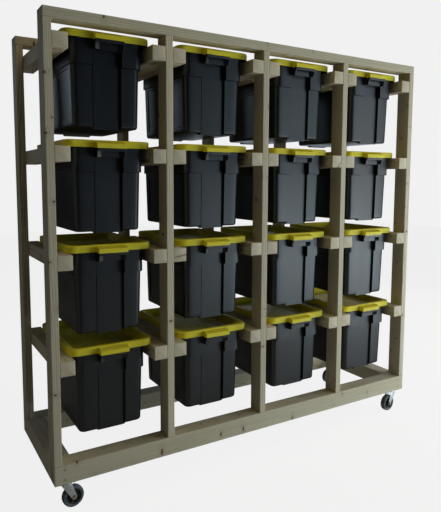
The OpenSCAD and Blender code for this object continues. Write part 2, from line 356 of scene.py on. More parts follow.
def pine_group() -> bpy.types.NodeTree:
    """Solid softwood: growth rings round the heart of the tree, fibres and pin knots.

    The ring a point lies in is its distance from the heart, wandered by slow noise along the
    board and pushed out round knots, divided by the ring spacing. Knots are cells of a flat
    pattern over length and angle round the heart, so they run out to the bark as branches do.

    Returns:
        The node group.
    """
    wiring, given, result = new_group(
        "Pine",
        {
            "Grain": (VECTOR, (0, 0, 0)),
            "Tone": (FLOAT, 0.0),
            "Early": (COLOUR, (0.6, 0.55, 0.42, 1)),
            "Late": (COLOUR, (0.4, 0.33, 0.2, 1)),
            "Spacing": (FLOAT, 0.005),
            "Knots": (FLOAT, 1.0),
        },
        {"Colour": COLOUR, "Roughness": FLOAT, "Height": FLOAT},
    )
    split = wiring.node("ShaderNodeSeparateXYZ")
    wiring.feed(split.inputs[0], given.outputs["Grain"])
    along, across, up = split.outputs
    flat = wiring.vector("MULTIPLY", given.outputs["Grain"], (0, 1, 1))
    reach = wiring.node("ShaderNodeVectorMath", operation="LENGTH")
    wiring.feed(reach.inputs[0], flat)
    angle = wiring.math("ARCTAN2", up, across)

    def drawn_out(length: float, width: float) -> Socket:
        """The grain's place with its length and width counted in these many periods a metre."""
        return wiring.vector("MULTIPLY", given.outputs["Grain"], (length, width, width))

    knot_cell = 0.13
    arc_radius = 0.075
    knot_place = wiring.node("ShaderNodeCombineXYZ")
    wiring.feed(knot_place.inputs[0], wiring.math("DIVIDE", along, knot_cell))
    wiring.feed(knot_place.inputs[1], wiring.math("MULTIPLY", angle, arc_radius / knot_cell))
    knots = wiring.node("ShaderNodeTexVoronoi", voronoi_dimensions="2D", feature="F1")
    wiring.feed(knots.inputs["Vector"], knot_place.outputs[0])
    wiring.feed(knots.inputs["Scale"], 1.0)
    away = wiring.math("MULTIPLY", knots.outputs["Distance"], knot_cell)
    chance = wiring.node("ShaderNodeSeparateColor")
    wiring.feed(chance.inputs[0], knots.outputs["Color"])
    size = wiring.math("MULTIPLY_ADD", chance.outputs[0], 0.0045, 0.0022)
    ratio = wiring.math("DIVIDE", away, size)
    shown = wiring.math("GREATER_THAN", chance.outputs[1], 0.3)
    knot = wiring.math("MULTIPLY", wiring.ramp(ratio, 0.75, 1.35, 1.0, 0.0), shown)
    halo = wiring.math("MULTIPLY", wiring.ramp(ratio, 1.0, 6.0, 1.0, 0.0), shown)

    wander = wiring.noise(drawn_out(0.9, 6.0), 1.0, 2.0)
    ripple = wiring.noise(drawn_out(5.0, 26.0), 1.0, 2.0)
    depth = wiring.math("MULTIPLY_ADD", wander, 0.05, reach.outputs["Value"])
    depth = wiring.math("MULTIPLY_ADD", ripple, 0.006, depth)
    depth = wiring.math("MULTIPLY_ADD", halo, 0.005, depth)
    phase = wiring.math("FRACT", wiring.math("DIVIDE", depth, given.outputs["Spacing"]))
    late = wiring.math("MULTIPLY", wiring.ramp(phase, 0.35, 0.9), wiring.ramp(phase, 0.93, 1.0, 1.0, 0.0))
    patch = wiring.noise(drawn_out(1.4, 16.0), 1.0, 3.0)
    fibre = wiring.noise(drawn_out(7.0, 330.0), 1.0, 3.0, 0.6)
    streak = wiring.noise(drawn_out(2.2, 75.0), 1.0, 2.0, 0.55)

    late_share = wiring.math("MULTIPLY", late, wiring.ramp(patch, 0.3, 0.7, 0.35, 0.95))
    colour = wiring.mixed(late_share, given.outputs["Early"], given.outputs["Late"])
    light = wiring.math("MULTIPLY_ADD", fibre, 0.22, 0.74)
    light = wiring.math("MULTIPLY_ADD", streak, 0.24, light)
    light = wiring.math("MULTIPLY_ADD", patch, 0.16, wiring.math("SUBTRACT", light, 0.05))
    light = wiring.math("ADD", light, given.outputs["Tone"])
    colour = wiring.mixed(1.0, colour, wiring.grey(light), "MULTIPLY")
    colour = wiring.mixed(wiring.math("MULTIPLY", halo, 0.22), colour, (0.30, 0.20, 0.11, 1))
    knot_share = wiring.math("MULTIPLY", knot, given.outputs["Knots"])
    colour = wiring.mixed(knot_share, colour, (0.085, 0.055, 0.035, 1))
    wiring.feed(result.inputs["Colour"], colour)
    wiring.feed(result.inputs["Roughness"], wiring.math("MULTIPLY_ADD", fibre, 0.22, 0.5))
    height = wiring.math("MULTIPLY_ADD", late, 0.5, wiring.math("MULTIPLY", fibre, 0.8))
    wiring.feed(result.inputs["Height"], wiring.math("MULTIPLY_ADD", knot, -0.6, height))
    return wiring.tree


def moulded_group() -> bpy.types.NodeTree:
    """Skin of a moulded plastic part: fine stipple, slow colour drift, scuffs and dust.

    Dust gathers where the surface faces up. Scuffs are thin bright scratches that show where a
    stretched noise comes close to its middle value.

    Returns:
        The node group.
    """
    wiring, given, result = new_group(
        "Moulded skin",
        {
            "Place": (VECTOR, (0, 0, 0)),
            "Base": (COLOUR, (0.02, 0.02, 0.02, 1)),
            "Dust": (FLOAT, 0.2),
            "Scuffs": (FLOAT, 0.2),
            "Gloss": (FLOAT, 0.4),
        },
        {"Colour": COLOUR, "Roughness": FLOAT, "Height": FLOAT},
    )
    place = given.outputs["Place"]
    drift = wiring.noise(place, 5.0, 3.0)
    stipple = wiring.noise(place, 900.0, 1.0)
    smear = wiring.noise(wiring.vector("MULTIPLY", place, (9.0, 9.0, 2.0)), 1.0, 4.0, 0.6)
    scratch_field = wiring.noise(wiring.vector("MULTIPLY", place, (60.0, 11.0, 38.0)), 1.0, 2.0)
    off_line = wiring.math("ABSOLUTE", wiring.math("SUBTRACT", scratch_field, 0.5))
    scratch = wiring.ramp(off_line, 0.0, 0.006, 1.0, 0.0)
    scratch = wiring.math("MULTIPLY", scratch, wiring.ramp(drift, 0.5, 0.68))
    scratch = wiring.math("MULTIPLY", scratch, given.outputs["Scuffs"])
    facing = wiring.node("ShaderNodeNewGeometry")
    normal = wiring.node("ShaderNodeSeparateXYZ")
    wiring.feed(normal.inputs[0], facing.outputs["Normal"])
    settled = wiring.ramp(normal.outputs[2], 0.3, 0.98)
    settled = wiring.math("MULTIPLY", settled, wiring.ramp(smear, 0.25, 0.75, 0.35, 1.0))
    settled = wiring.math("MULTIPLY", settled, given.outputs["Dust"])
    light = wiring.math("MULTIPLY_ADD", drift, 0.3, 0.85)
    colour = wiring.mixed(1.0, given.outputs["Base"], wiring.grey(light), "MULTIPLY")
    colour = wiring.mixed(settled, colour, (0.32, 0.29, 0.23, 1))
    colour = wiring.mixed(wiring.math("MULTIPLY", scratch, 0.5), colour, (0.45, 0.44, 0.40, 1))
    wiring.feed(result.inputs["Colour"], colour)
    rough = wiring.math("MULTIPLY_ADD", smear, 0.14, given.outputs["Gloss"])
    rough = wiring.math("MULTIPLY_ADD", settled, 0.35, rough)
    wiring.feed(result.inputs["Roughness"], wiring.math("MULTIPLY_ADD", stipple, 0.06, rough))
    height = wiring.math("MULTIPLY_ADD", stipple, 0.5, wiring.math("MULTIPLY", drift, 0.6))
    wiring.feed(result.inputs["Height"], wiring.math("MULTIPLY_ADD", scratch, -0.4, height))
    return wiring.tree


def metal_group() -> bpy.types.NodeTree:
    """Plated steel: faint crystals, rubbed streaks and dull stains.

    Returns:
        The node group.
    """
    wiring, given, result = new_group(
        "Plated steel",
        {
            "Place": (VECTOR, (0, 0, 0)),
            "Base": (COLOUR, (0.6, 0.62, 0.65, 1)),
            "Stain": (COLOUR, (0.2, 0.19, 0.18, 1)),
            "Gloss": (FLOAT, 0.3),
        },
        {"Colour": COLOUR, "Roughness": FLOAT, "Height": FLOAT},
    )
    crystals = wiring.node("ShaderNodeTexVoronoi")
    wiring.feed(crystals.inputs["Vector"], given.outputs["Place"])
    wiring.feed(crystals.inputs["Scale"], 240.0)
    spangle = wiring.node("ShaderNodeSeparateColor")
    wiring.feed(spangle.inputs[0], crystals.outputs["Color"])
    stain = wiring.noise(given.outputs["Place"], 55.0, 4.0, 0.65)
    rubbed = wiring.noise(wiring.vector("MULTIPLY", given.outputs["Place"], (90.0, 90.0, 700.0)), 1.0, 2.0)
    stained = wiring.ramp(stain, 0.48, 0.78, 0.0, 0.7)
    colour = wiring.mixed(stained, given.outputs["Base"], given.outputs["Stain"])
    light = wiring.math("MULTIPLY_ADD", spangle.outputs[0], 0.14, 0.9)
    wiring.feed(result.inputs["Colour"], wiring.mixed(1.0, colour, wiring.grey(light), "MULTIPLY"))
    rough = wiring.math("MULTIPLY_ADD", stain, 0.3, given.outputs["Gloss"])
    wiring.feed(result.inputs["Roughness"], wiring.math("MULTIPLY_ADD", rubbed, 0.1, rough))
    wiring.feed(result.inputs["Height"], wiring.math("ADD", rubbed, spangle.outputs[1]))
    return wiring.tree


# ---- Finishes ----


@dataclass(frozen=True)
class Finish:
    """A surface finish: its name, the shared group that patterns it, and its plain values."""

    name: str
    group: str
    values: dict[str, object]
    metallic: float = 0.0
    specular: float = 0.5
    bump: float = 0.2
    bump_depth: float = 0.0004
    subsurface: float = 0.0

    def material(self) -> Material:
        """Builds the material: shared pattern into one shader, bump and constants on the shader.

        Returns:
            The material.
        """
        made = bpy.data.materials.new(self.name)
        made.use_nodes = True
        wiring = Wiring(made.node_tree)
        made.node_tree.nodes.clear()
        pattern = wiring.node("ShaderNodeGroup")
        pattern.node_tree = bpy.data.node_groups[self.group]
        for socket, value in self.values.items():
            wiring.feed(pattern.inputs[socket], value)
        if "Grain" in pattern.inputs:
            grain = wiring.node("ShaderNodeAttribute", attribute_name="grain")
            tone = wiring.node("ShaderNodeAttribute", attribute_name="tone")
            wiring.feed(pattern.inputs["Grain"], grain.outputs["Vector"])
            wiring.feed(pattern.inputs["Tone"], tone.outputs["Fac"])
        else:
            place = wiring.node("ShaderNodeTexCoord")
            wiring.feed(pattern.inputs["Place"], place.outputs["Object"])
        relief = wiring.node("ShaderNodeBump")
        relief.inputs["Strength"].default_value = self.bump
        relief.inputs["Distance"].default_value = self.bump_depth
        wiring.feed(relief.inputs["Height"], pattern.outputs["Height"])
        shader = wiring.node("ShaderNodeBsdfPrincipled")
        wiring.feed(shader.inputs["Base Color"], pattern.outputs["Colour"])
        wiring.feed(shader.inputs["Roughness"], pattern.outputs["Roughness"])
        wiring.feed(shader.inputs["Normal"], relief.outputs["Normal"])
        shader.inputs["Metallic"].default_value = self.metallic
        shader.inputs["Specular IOR Level"].default_value = self.specular
        shader.inputs["Subsurface Weight"].default_value = self.subsurface
        shader.inputs["Subsurface Scale"].default_value = 2 * MM
        out = wiring.node("ShaderNodeOutputMaterial")
        wiring.feed(out.inputs["Surface"], shader.outputs["BSDF"])
        return made


RAIL_TIMBER = Finish("Rail timber", "Pine", {
    "Early": (0.60, 0.555, 0.42, 1), "Late": (0.36, 0.29, 0.17, 1), "Spacing": 0.0062, "Knots": 0.9,
}, specular=0.3, bump=0.35)
POST_TIMBER = Finish("Post timber", "Pine", {
    "Early": (0.60, 0.55, 0.41, 1), "Late": (0.36, 0.285, 0.165, 1), "Spacing": 0.0052, "Knots": 0.85,
}, specular=0.3, bump=0.35)
RUNNER_TIMBER = Finish("Runner timber", "Pine", {
    "Early": (0.62, 0.56, 0.42, 1), "Late": (0.38, 0.30, 0.18, 1), "Spacing": 0.0068, "Knots": 0.8,
}, specular=0.3, bump=0.35)
TOTE_PLASTIC = Finish("Tote plastic", "Moulded skin", {
    "Base": (0.0034, 0.0052, 0.0088, 1), "Dust": 0.08, "Scuffs": 0.3, "Gloss": 0.3,
}, specular=0.55, bump=0.12, bump_depth=0.0003)
LID_PLASTIC = Finish("Lid plastic", "Moulded skin", {
    "Base": (0.78, 0.67, 0.032, 1), "Dust": 0.05, "Scuffs": 0.3, "Gloss": 0.42,
}, specular=0.22, bump=0.1, bump_depth=0.0003, subsurface=0.06)
ZINC_STEEL = Finish("Zinc steel", "Plated steel", {
    "Base": (0.62, 0.65, 0.70, 1), "Stain": (0.30, 0.30, 0.31, 1), "Gloss": 0.2,
}, metallic=1.0, bump=0.15, bump_depth=0.0001)
SCREW_STEEL = Finish("Screw steel", "Plated steel", {
    "Base": (0.42, 0.35, 0.20, 1), "Stain": (0.14, 0.12, 0.09, 1), "Gloss": 0.3,
}, metallic=0.9, bump=0.2, bump_depth=0.0001)
WHEEL_HUB = Finish("Wheel hub", "Moulded skin", {
    "Base": (0.022, 0.024, 0.028, 1), "Dust": 0.2, "Scuffs": 0.5, "Gloss": 0.3,
}, specular=0.5, bump=0.15, bump_depth=0.0002)
TYRE_RUBBER = Finish("Tyre rubber", "Moulded skin", {
    "Base": (0.115, 0.13, 0.15, 1), "Dust": 0.3, "Scuffs": 0.4, "Gloss": 0.42,
}, specular=0.4, bump=0.2, bump_depth=0.0003)


# ---- Timber ----


class Run(Enum):
    """Direction in which a board runs: its own axis, then the two axes across it."""

    ALONG_X = (0, 1, 2)
    ALONG_Y = (1, 2, 0)
    ALONG_Z = (2, 0, 1)


@dataclass
class Sawmill:
    """Makes boards, each cut from its own place in a tree.

    The random draws are seeded, so that every build gives the same boards.
    """

    ease: float = 2.2 * MM
    shrink: float = 0.25 * MM
    arc: int = 3
    seed: int = 23
    draws: np.random.Generator = field(init=False)

    def __post_init__(self) -> None:
        """Starts the seeded draws."""
        self.draws = np.random.default_rng(self.seed)

    def board(self, low: np.ndarray, high: np.ndarray, run: Run) -> Skin:
        """One board with eased edges and ends.

        Its section is a rounded rectangle. Near each end the section draws in along a quarter
        circle: inset is ease times (1 - sin a) at ease times (1 - cos a) from the end.

        Args:
            low: lowest corner, in metres.
            high: highest corner, in metres.
            run: direction of the grain.

        Returns:
            The board's skin, with its grain and tone.
        """
        axis, first, second = run.value
        centre = (low + high) / 2
        half = (high - low) / 2 - self.shrink
        a = np.linspace(0, math.pi / 2, self.arc + 1)
        inset = self.ease * (1 - np.sin(a))
        depth = self.ease * (1 - np.cos(a))
        length = half[axis]
        plain = length - 3 * self.ease
        path = np.concatenate([-length + depth, [-plain, plain], (length - depth)[::-1]])
        inset = np.concatenate([inset, [0.0, 0.0], inset[::-1]])
        radius = np.maximum(self.ease - inset, 0.2 * MM)
        section = rounded_ring(half[first] - inset, half[second] - inset, radius, self.arc)
        local = np.zeros(section.shape[:2] + (3,))
        local[..., axis] = path[:, None]
        local[..., first] = section[..., 0]
        local[..., second] = section[..., 1]
        skin = tube(local + centre)
        flat = local.reshape(-1, 3)
        heart_angle = self.draws.uniform(0, 2 * math.pi)
        heart_reach = self.draws.uniform(0.045, 0.11)
        shift = self.draws.uniform(0, 40)
        skin.grain = np.stack([
            flat[:, axis] + shift,
            flat[:, first] + heart_reach * math.cos(heart_angle),
            flat[:, second] + heart_reach * math.sin(heart_angle),
        ], axis=-1)
        skin.tone = np.full(len(flat), self.draws.uniform(-0.07, 0.07))
        return skin


def box_of(node: str) -> tuple[np.ndarray, np.ndarray]:
    """Lowest and highest corner of a CAD node, as arrays."""
    low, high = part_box(node)
    return np.array(low), np.array(high)


@dataclass
class TimberFrame:
    """Two frames of posts between a sill and a top rail, joined by end rails and runners."""

    posts: int = 5
    post_thickness: float = 38 * MM
    post_depth: float = 95 * MM
    sill_side: float = 95 * MM
    runner_side: float = 70 * MM
    rows: int = 4
    mill: Sawmill = field(default_factory=Sawmill)

    def post_places(self) -> np.ndarray:
        """Places of the post centres along the rack, evenly spaced from end to end."""
        low, high = box_of("front_posts")
        return np.linspace(low[0] + self.post_thickness / 2, high[0] - self.post_thickness / 2, self.posts)

    def pair(self, node: str, depth: float) -> list[Skin]:
        """Two boards along the rack, at the front and at the back of a node's box.

        Args:
            node: the CAD node.
            depth: size of each board from front to back.

        Returns:
            The two boards.
        """
        low, high = box_of(node)
        front = self.mill.board(low, np.array([high[0], low[1] + depth, high[2]]), Run.ALONG_X)
        back = self.mill.board(np.array([low[0], high[1] - depth, low[2]]), high, Run.ALONG_X)
        return [front, back]

    def end_rails(self) -> list[Skin]:
        """A rail between the sills at each end of the rack."""
        low, high = box_of("end_rails")
        left = self.mill.board(low, np.array([low[0] + self.sill_side, high[1], high[2]]), Run.ALONG_Y)
        right = self.mill.board(np.array([high[0] - self.sill_side, low[1], low[2]]), high, Run.ALONG_Y)
        return [left, right]

    def post_row(self, node: str) -> list[Skin]:
        """Five posts of one frame."""
        low, high = box_of(node)
        half = self.post_thickness / 2
        boards = []
        for x in self.post_places():
            corner = np.array([x - half, low[1], low[2]])
            boards.append(self.mill.board(corner, np.array([x + half, high[1], high[2]]), Run.ALONG_Z))
        return boards

    def runner_row(self, node: str) -> list[Skin]:
        """Pairs of runners of one row, one against each post in every bay."""
        low, high = box_of(node)
        half = self.post_thickness / 2
        boards = []
        for left, right in zip(self.post_places()[:-1], self.post_places()[1:]):
            for start in (left + half, right - half - self.runner_side):
                corner = np.array([start, low[1], low[2]])
                end = np.array([start + self.runner_side, high[1], high[2]])
                boards.append(self.mill.board(corner, end, Run.ALONG_Y))
        return boards

    def build(self) -> None:
        """Builds the boards and puts each set in place of its node."""
        rail, post, runner = RAIL_TIMBER.material(), POST_TIMBER.material(), RUNNER_TIMBER.material()
        sets = [
            ("rail_boards", self.pair("top_rails", self.post_depth), rail, "rail_timber", "top_rails"),
            ("sill_boards", self.pair("sills", self.sill_side), rail, "rail_timber", "sills"),
            ("end_rail_boards", self.end_rails(), post, "post_timber", "end_rails"),
            ("front_post_boards", self.post_row("front_posts"), post, "post_timber", "front_posts"),
            ("back_post_boards", self.post_row("back_posts"), post, "post_timber", "back_posts"),
        ]
        for row in range(1, self.rows + 1):
            node = f"runners_row_{row}"
            sets.append((f"runner_boards_row_{row}", self.runner_row(node), runner, "runner_timber", node))
        for name, boards, finish, slot, node in sets:
            placed(built(name, joined(boards), finish), "rack", [node])


# ---- Totes ----


@dataclass
class Block:
    """A small box with eased edges."""

    low: tuple[float, float, float]
    high: tuple[float, float, float]
    ease: float = 1.2

    def skin(self) -> Skin:
        """The box's surface. Sizes are in millimetres, and the skin is in metres."""
        low, high = np.array(self.low), np.array(self.high)
        centre, half = (low + high) / 2, (high - low) / 2
        a = np.linspace(0, math.pi / 2, 4)
        inset = self.ease * (1 - np.sin(a))
        depth = self.ease * (1 - np.cos(a))
        z = np.concatenate([-half[2] + depth, (half[2] - depth)[::-1]])
        inset = np.concatenate([inset, inset[::-1]])
        radius = np.maximum(self.ease - inset, 0.1)
        ring = rounded_ring((half[0] - inset) * MM, (half[1] - inset) * MM, radius * MM, 3)
        level = np.broadcast_to(z[:, None, None] * MM, ring.shape[:2] + (1,))
        return tube(np.concatenate([ring, level], axis=-1) + centre * MM)


@dataclass
class Tote:
    """A tall moulded tote: drafted body, proud band, a hollow down each end, handles and rim.

    Sizes are in millimetres from the middle of the tote and from the underside of its rim.
    """

    depth: float = 396
    band: float = 113
    band_half: tuple[float, float] = (173, 280)
    lower_half: tuple[float, float] = (166, 266)
    draft: float = 6
    band_radius: float = 34
    lower_radius: float = 27
    rim_half: tuple[float, float] = (206, 290)
    rim_radius: float = 39
    rim_top: float = 27.7
    land: float = 8
    wall: float = 3
    hollow: float = 70.5
    hollow_plane: float = 253.5
    hollow_top: float = -45
    foot: float = 8
    joint: tuple[float, float] = (62, 66)
    pit: tuple[float, float] = (71, 80)
    pit_z: tuple[float, float] = (-41, -5)
    handle: float = 69
    flange_out: float = 323
    cheek_out: float = 315.5
    pocket: tuple[float, float] = (44, 296)
    flange_z: tuple[float, float] = (-17, 5.2)
    flange_walls: tuple[float, float] = (3.6, 3.4)
    ribs: tuple[float, ...] = (-33, 0, 33)
    side_panel: float = 205
    side_panel_z: tuple[float, float] = (-360, -130)
    fillet: float = 11
    soft: float = 0.7

    def body_rows(self, inset: float) -> list[tuple[float, float, float, float, float]]:
        """The body from the middle of its floor up to the rim, as the outside or the inside.

        Args:
            inset: 0 for the outside, or the wall's thickness for the inside.

        Returns:
            Height, half width, half length, corner radius and share of the foot of every row.
        """
        outer = float(inset == 0)
        bottom = -self.depth + inset
        fillet = self.fillet - inset
        rows: list[tuple[float, float, float, float, float]] = []
        low_x, low_y = (half - self.draft - inset for half in self.lower_half)
        low_radius = self.lower_radius - inset
        for share, sunk in ((0.45, 0.0), (0.8, 0.0), (0.93, outer)):
            rows.append((bottom, low_x * share, low_y * share, low_radius * share, sunk))
        for turn in np.linspace(0, math.pi / 2, 6):
            back = fillet * (1 - math.sin(turn))
            level = bottom + fillet * (1 - math.cos(turn))
            rows.append((level, low_x - back, low_y - back, low_radius - back / 2, outer))
        plain = [-372, -340, -300, -250, -200, -160, -125, -119, -95, -80, -65, -25, 2]
        heights = lines_for([*self.side_panel_z, *self.pit_z, self.hollow_top], self.soft, plain)
        heights = np.sort(np.concatenate([heights, [-self.band - 1.2, -self.band + 1.2]]))
        for z in heights[heights > bottom + fillet]:
            up = np.clip((z - bottom) / (self.depth - self.band), 0, 1)
            step = float(step_at(np.array(z), -self.band, 1.2))
            half = [low - self.draft * (1 - up) for low in self.lower_half]
            half = [h + step * (b - l) - inset for h, b, l in zip(half, self.band_half, self.lower_half)]
            radius = self.lower_radius + step * (self.band_radius - self.lower_radius) - inset
            rows.append((float(z), half[0], half[1], radius, outer))
        return rows

    def rim_rows(self) -> list[tuple[float, float, float, float, float]]:
        """The rim, from the body's outside under the land, round the edge and in over the land."""
        (band_x, band_y), (rim_x, rim_y) = self.band_half, self.rim_half
        land, under, top = self.land, self.land - self.wall, self.rim_top
        steps = [
            (under - 1, band_x + 0.5, band_y + 0.5, self.band_radius + 0.5),
            (under, band_x + 2, band_y + 2, self.band_radius + 1),
            (under, rim_x - 4.5, rim_y - 4.5, self.rim_radius - 4.5),
            (under - 1, rim_x - 3.4, rim_y - 3.4, self.rim_radius - 3.4),
            (0.3, rim_x - 2.8, rim_y - 2.8, self.rim_radius - 2.8),
            (0.3, rim_x - 0.4, rim_y - 0.4, self.rim_radius - 0.4),
            (1.0, rim_x, rim_y, self.rim_radius),
            (top - 1, rim_x, rim_y, self.rim_radius),
            (top, rim_x - 1, rim_y - 1, self.rim_radius - 1),
            (top, rim_x - 2, rim_y - 2, self.rim_radius - 2),
            (top - 1, rim_x - 3, rim_y - 3, self.rim_radius - 3),
            (land + 1, rim_x - 3.2, rim_y - 3.2, self.rim_radius - 3.2),
            (land, rim_x - 4.2, rim_y - 4.2, self.rim_radius - 4.2),
            (land, band_x - 1, band_y - 1, self.band_radius),
            (land - 1, band_x - self.wall + 0.4, band_y - self.wall + 0.4, self.band_radius - 2),
        ]
        return [(*step, 0.0) for step in steps]

    def skin(self) -> Skin:
        """The tote's surface, outside and inside in one path.

        Half of the outline runs from the middle of the left side round the front to the middle
        of the right side, and the other half is the same, turned by 180 degrees. Inside the
        hollow no point stands further out than the hollow's plane, which leans in with the
        draft. The pits, joint lines and side panels move points in along the outline's normal
        by a product of two ramps, one over height and one over place along the face.

        Returns:
            The skin, in metres.
        """
        outside, inside = self.body_rows(0.0), self.body_rows(self.wall)
        rim = self.rim_rows()
        rows = outside + rim + inside[::-1]
        kinds = [0.0] * len(outside) + [-1.0] * len(rim) + [self.wall] * len(inside)
        z, half_x, half_y, radius, sunk = (np.array(column)[:, None] for column in zip(*rows))
        inset = np.array(kinds)[:, None]
        body = (inset >= 0).astype(float)
        inset = np.maximum(inset, 0)
        side = lines_for([self.side_panel], 2.0, [0, 60, 120, 170])[None, :]
        edges = [self.hollow, *self.joint, self.pit[1]]
        both = [sign * edge for edge in edges for sign in (-1, 1)]
        front = lines_for(both, self.soft, [-110, -40, 0, 40, 110])[None, :]
        quarter = np.linspace(0, math.pi / 2, 9)[None, :]
        core_x, core_y = half_x - radius, half_y - radius
        count = len(z)

        def even(values: np.ndarray) -> np.ndarray:
            """The same row of values for every height."""
            return np.broadcast_to(values, (count, values.shape[1]))

        def corner(start: float, side: int) -> tuple[np.ndarray, ...]:
            """Places and outward directions over a quarter circle from a starting angle."""
            turn = start + even(quarter)
            cos, sin = np.cos(turn), np.sin(turn)
            return side * core_x + radius * cos, -core_y + radius * sin, cos, sin

        lead = np.minimum(even(side), core_y)
        left = (-half_x + 0 * lead, -lead, -1 + 0 * lead, 0 * lead)
        face = np.clip(even(front), -core_x, core_x)
        middle = (face, -half_y + 0 * face, 0 * face, -1 + 0 * face)
        lead = lead[:, :0:-1]
        right = (half_x + 0 * lead, -lead, 1 + 0 * lead, 0 * lead)
        stretches = (left, corner(math.pi, -1), middle, corner(1.5 * math.pi, 1), right)
        x, y, normal_x, normal_y = (np.concatenate(part, axis=1) for part in zip(*stretches))

        on_front = normal_y < -0.999
        across = np.abs(x)
        lean = self.draft * np.clip(-(z + self.band) / (self.depth - self.band), 0, 1)
        plane = self.hollow_plane - lean - inset
        below_handle = 1 - step_at(z, self.hollow_top + inset, self.soft)
        in_hollow = (1 - step_at(across, self.hollow + inset, self.soft)) * on_front
        out = -in_hollow * below_handle * np.maximum(half_y - plane, 0)
        joints = between(across, *self.joint, self.soft) * below_handle * on_front
        pits = between(across, *self.pit, self.soft) * between(z, *self.pit_z, self.soft) * on_front
        along_side = between(np.abs(y), -1, self.side_panel, 2.0) * (np.abs(normal_x) > 0.999)
        side_panels = along_side * between(z, *self.side_panel_z, 2.0)
        out = (out - 2.5 * joints * (inset == 0) - 4 * pits - 4 * side_panels) * body
        dropped = in_hollow * (1 - step_at(z, 12 - self.depth, 12)) * sunk
        level = z - dropped * self.foot + 0 * x
        half_ring = np.stack([x + out * normal_x, y + out * normal_y, level], axis=-1)
        other = half_ring * np.array([-1, -1, 1])
        return tube(np.concatenate([half_ring, other], axis=1) * MM)

    def handle_skins(self) -> list[Skin]:
        """The handle at each end: pocket and cheeks in plan, a turned-down flange and its ribs."""
        wide, out, (pocket, back) = self.handle, self.cheek_out, self.pocket
        flange, (lip, top), (front_wall, top_wall) = self.flange_out, self.flange_z, self.flange_walls
        inner = self.band_half[1] - 2
        rings = []
        for z, draw in ((self.hollow_top, 7.0), (self.hollow_top + 0.6, 6.0), (-22, 0.0), (2, 0.0)):
            front = out - draw
            plan = [(-wide, -inner), (-wide, -front), (3 - wide, -front), (-pocket, -back), (pocket, -back),
                    (wide - 3, -front), (wide, -front), (wide, -inner)]
            rings.append([(x, y, z) for x, y in plan])
        pieces = [
            tube(np.array(rings) * MM),
            Block((-wide, -flange, lip), (wide, front_wall - flange, top)).skin(),
            Block((-wide, -flange, top - top_wall), (wide, 4 - self.rim_half[1], top)).skin(),
        ]
        for x in self.ribs:
            pieces.append(Block((x - 1.3, 2 - flange, lip + 4), (x + 1.3, -back + 1, 3), 0.5).skin())
        half_turn = np.diag([-1.0, -1.0, 1.0, 1.0])
        return pieces + [piece.moved(half_turn) for piece in pieces]

    def whole(self) -> Skin:
        """Body, rim and both handles."""
        return joined([self.skin(), *self.handle_skins()])


